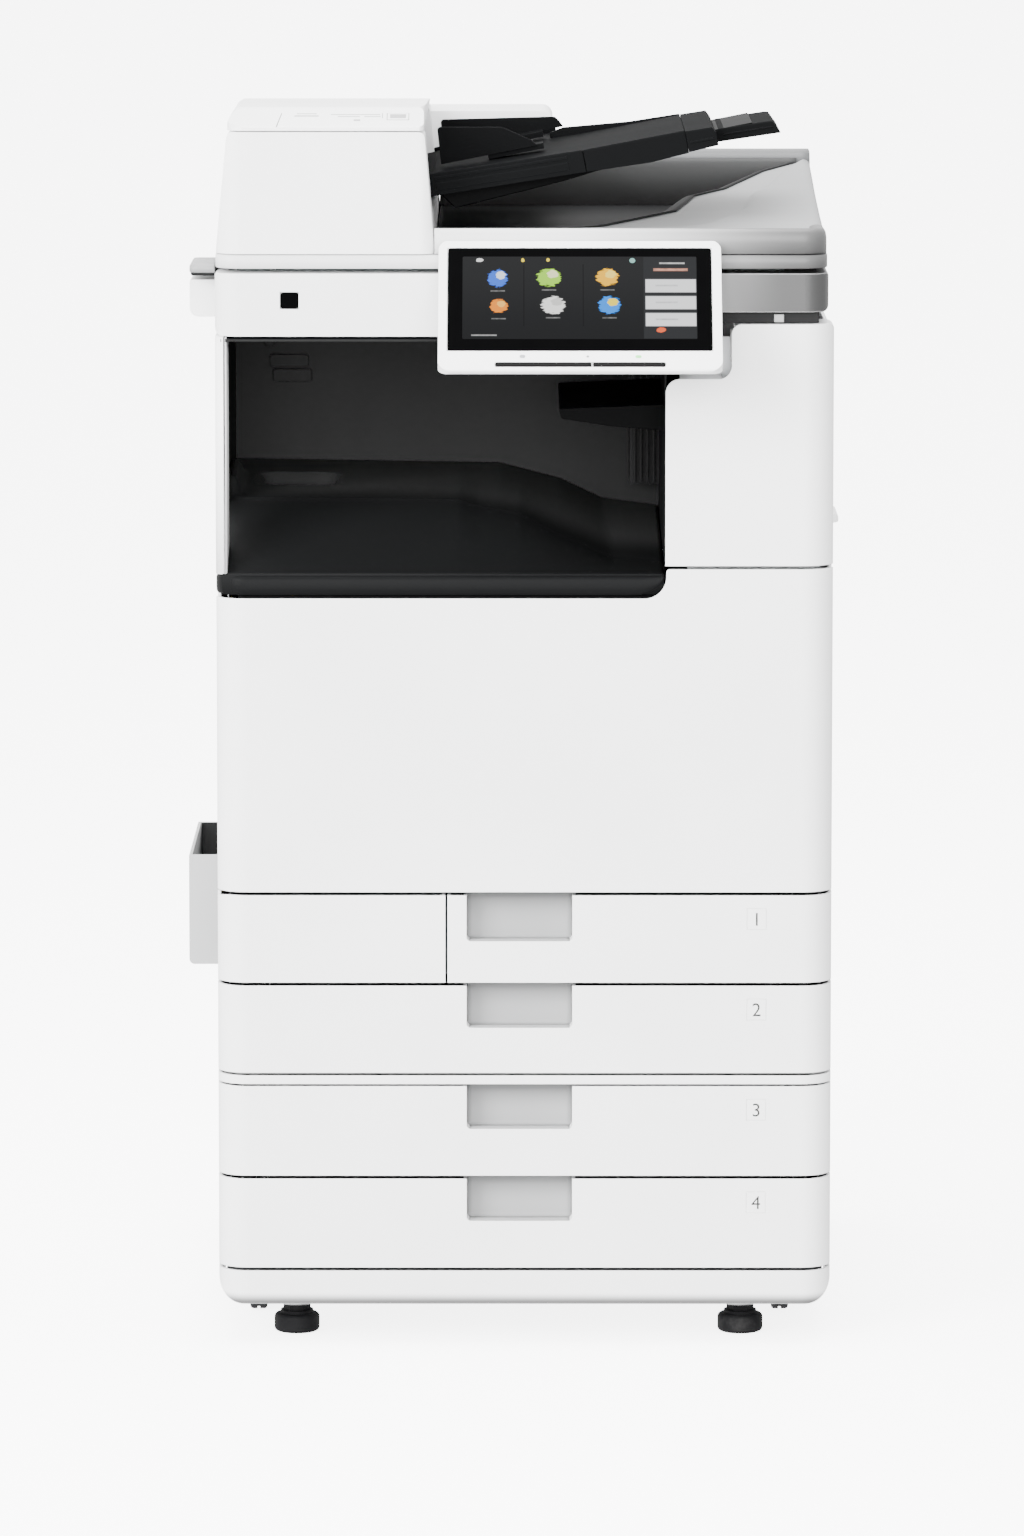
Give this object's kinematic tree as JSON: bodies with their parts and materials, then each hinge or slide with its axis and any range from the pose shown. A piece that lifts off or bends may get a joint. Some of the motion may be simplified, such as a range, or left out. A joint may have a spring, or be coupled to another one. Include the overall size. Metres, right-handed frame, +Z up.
{
  "type": "photocopier",
  "caption": "Floor-standing office copier with document feeder, tilting touch panel, recessed output bay, front cover, paper drawers, feet and casters.",
  "frame": {"origin": "on the floor under the middle of the whole machine's bounding box", "axes": "+Z up, +Y to the back, front faces -Y, +X to the right seen from the front"},
  "size_m": [0.606, 0.7222, 1.1368],
  "materials": {
    "cover_white": "fine moulded grain, off-white",
    "lid_grey": "fine moulded grain, pale grey",
    "exit_grey": "dark grey moulded grain",
    "bay_black": "black moulded grain",
    "tray_black": "black moulded, slightly smooth",
    "frame_steel": "zinc-coated sheet, painted",
    "bare_steel": "bright steel",
    "clear_glass": "clear float glass",
    "dark_window": "dark tinted window",
    "unit_grey": "mid grey",
    "unit_black": "black",
    "circuit_green": "coated circuit board",
    "toner_yellow": "yellow bottle",
    "toner_magenta": "magenta bottle",
    "toner_cyan": "cyan bottle",
    "pad_white": "white foam-backed sheet",
    "roller_rubber": "grey feed rubber",
    "panel_glass": "black touch glass",
    "key_black": "black keys",
    "cassette_grey": "grey cassette holding white sheets",
    "wheel_rubber": "black rubber tread",
    "foot_rubber": "black rubber pad with steel stem"
  },
  "bodies": {
    "cabinet": {"base_pan": "frame_steel", "pedestal_trim": "cover_white", "main_frame": "frame_steel", "left_cover": "cover_white", "right_cover": "cover_white", "rear_cover": "cover_white", "right_front_cover": "cover_white", "bay_liner": "bay_black", "output_tray": "tray_black", "upper_tray": "tray_black", "scanner_housing": "cover_white", "platen_glass": "clear_glass", "sensor_window": "dark_window", "lid_hinge_brackets": "bare_steel", "laser_unit": "unit_grey", "imaging_unit": "unit_black", "fixing_unit": "unit_black", "electronics": "circuit_green", "power_inlet": "unit_black", "manual_pocket": "cover_white", "cover_screws": "bare_steel", "panel_arm": "unit_grey", "toner_bottle_yellow": "toner_yellow", "toner_bottle_magenta": "toner_magenta", "toner_bottle_cyan": "toner_cyan", "toner_bottle_black": "unit_black"},
    "lid": {"lid_base": "lid_grey", "feeder_body": "cover_white", "exit_liner": "exit_grey", "platen_pad": "pad_white"},
    "feeder_lid": {"feeder_cover": "cover_white"},
    "feed_tray": {"document_tray": "tray_black"},
    "guide_front": {"document_guide_front": "tray_black"},
    "guide_rear": {"document_guide_rear": "tray_black"},
    "tray_end": {"tray_extension": "tray_black"},
    "pickup": {"pickup_roller": "roller_rubber"},
    "carriage": {"scan_carriage": "unit_black"},
    "panel": {"panel_housing": "cover_white", "panel_glass": "panel_glass"},
    "home_button": {"home_key": "key_black"},
    "power_button": {"power_key": "key_black"},
    "front_door": {"front_cover": "cover_white"},
    "waste_door": {"waste_cover": "cover_white"},
    "side_door": {"right_door": "cover_white"},
    "bypass": {"bypass_tray": "cover_white"},
    "fork_left": {"caster_fork_left": "bare_steel"},
    "fork_right": {"caster_fork_right": "bare_steel"},
    "wheel_left": {"caster_wheel_left": "wheel_rubber"},
    "wheel_right": {"caster_wheel_right": "wheel_rubber"},
    "wheels_rear": {"rear_wheels": "wheel_rubber"},
    "foot_left": {"levelling_foot_left": "foot_rubber"},
    "foot_right": {"levelling_foot_right": "foot_rubber"},
    "drawer_1": {"drawer_1_front": "cover_white", "drawer_1_tray": "cassette_grey"},
    "drawer_2": {"drawer_2_front": "cover_white", "drawer_2_tray": "cassette_grey"},
    "drawer_3": {"drawer_3_front": "cover_white", "drawer_3_tray": "cassette_grey"},
    "drawer_4": {"drawer_4_front": "cover_white", "drawer_4_tray": "cassette_grey"}
  },
  "joints": [
    {"name": "lid_hinge", "type": "hinge", "parent": "cabinet", "child": "lid", "pos_m": [0.01, 0.3251, 0.984], "axis": [-1, 0, 0], "range_deg": [0, 70]},
    {"name": "feeder_cover_hinge", "type": "hinge", "parent": "lid", "child": "feeder_lid", "pos_m": [-0.2595, 0.0231, 1.119], "axis": [0, -1, 0], "range_deg": [0, 80]},
    {"name": "document_tray_hinge", "type": "hinge", "parent": "lid", "child": "feed_tray", "pos_m": [-0.074, -0.0169, 1.062], "axis": [0, -1, 0], "range_deg": [0, 25]},
    {"name": "guide_front_slide", "type": "slide", "parent": "feed_tray", "child": "guide_front", "axis": [0, 1, 0], "range_m": [-0.03, 0.05]},
    {"name": "guide_rear_slide", "type": "slide", "parent": "feed_tray", "child": "guide_rear", "axis": [0, 1, 0], "range_m": [-0.05, 0.03]},
    {"name": "tray_end_slide", "type": "slide", "parent": "feed_tray", "child": "tray_end", "axis": [0.9806, 0, 0.1959], "range_m": [0, 0.06]},
    {"name": "pickup_spin", "type": "hinge", "parent": "lid", "child": "pickup", "pos_m": [-0.14, -0.0139, 1.08], "axis": [0, 1, 0], "continuous": true},
    {"name": "carriage_slide", "type": "slide", "parent": "cabinet", "child": "carriage", "axis": [1, 0, 0], "range_m": [0, 0.44]},
    {"name": "panel_tilt", "type": "hinge", "parent": "cabinet", "child": "panel", "pos_m": [0.061, -0.2759, 0.978], "axis": [1, 0, 0], "range_deg": [0, 25]},
    {"name": "home_press", "type": "slide", "parent": "panel", "child": "home_button", "axis": [0, 0.7431, -0.6691], "range_m": [0, 0.0008], "stiffness_N_per_m": 300},
    {"name": "power_press", "type": "slide", "parent": "panel", "child": "power_button", "axis": [0, 0.7431, -0.6691], "range_m": [0, 0.0008], "stiffness_N_per_m": 300},
    {"name": "front_cover_hinge", "type": "hinge", "parent": "cabinet", "child": "front_door", "pos_m": [0.01, -0.2529, 0.4245], "axis": [1, 0, 0], "range_deg": [0, 85]},
    {"name": "waste_cover_hinge", "type": "hinge", "parent": "cabinet", "child": "waste_door", "pos_m": [-0.168, -0.2529, 0.3405], "axis": [1, 0, 0], "range_deg": [0, 70]},
    {"name": "drawer_1_slide", "type": "slide", "parent": "cabinet", "child": "drawer_1", "axis": [0, -1, 0], "range_m": [0, 0.42]},
    {"name": "drawer_2_slide", "type": "slide", "parent": "cabinet", "child": "drawer_2", "axis": [0, -1, 0], "range_m": [0, 0.42]},
    {"name": "drawer_3_slide", "type": "slide", "parent": "cabinet", "child": "drawer_3", "axis": [0, -1, 0], "range_m": [0, 0.42]},
    {"name": "drawer_4_slide", "type": "slide", "parent": "cabinet", "child": "drawer_4", "axis": [0, -1, 0], "range_m": [0, 0.42]},
    {"name": "side_door_hinge", "type": "hinge", "parent": "cabinet", "child": "side_door", "pos_m": [0.2885, 0.0131, 0.434], "axis": [0, 1, 0], "range_deg": [0, 60]},
    {"name": "bypass_hinge", "type": "hinge", "parent": "side_door", "child": "bypass", "pos_m": [0.29, 0.0131, 0.474], "axis": [0, 1, 0], "range_deg": [0, 60]},
    {"name": "swivel_left", "type": "hinge", "parent": "cabinet", "child": "fork_left", "pos_m": [-0.24, -0.1069, 0.052], "axis": [0, 0, 1], "continuous": true},
    {"name": "wheel_left_spin", "type": "hinge", "parent": "fork_left", "child": "wheel_left", "pos_m": [-0.24, -0.1019, 0.02], "axis": [1, 0, 0], "continuous": true},
    {"name": "swivel_right", "type": "hinge", "parent": "cabinet", "child": "fork_right", "pos_m": [0.25, -0.1069, 0.052], "axis": [0, 0, 1], "continuous": true},
    {"name": "wheel_right_spin", "type": "hinge", "parent": "fork_right", "child": "wheel_right", "pos_m": [0.25, -0.1019, 0.02], "axis": [1, 0, 0], "continuous": true},
    {"name": "rear_wheels_spin", "type": "hinge", "parent": "cabinet", "child": "wheels_rear", "pos_m": [0.01, 0.2881, 0.02], "axis": [1, 0, 0], "continuous": true},
    {"name": "foot_left_screw", "type": "hinge", "parent": "cabinet", "child": "foot_left", "pos_m": [-0.2014, -0.2029, 0.03], "axis": [0, 0, 1], "continuous": true},
    {"name": "foot_right_screw", "type": "hinge", "parent": "cabinet", "child": "foot_right", "pos_m": [0.2103, -0.2029, 0.03], "axis": [0, 0, 1], "continuous": true}
  ],
  "couplings": [
    {"joint": "guide_rear_slide", "follows": "guide_front_slide", "ratio": -1}
  ]
}
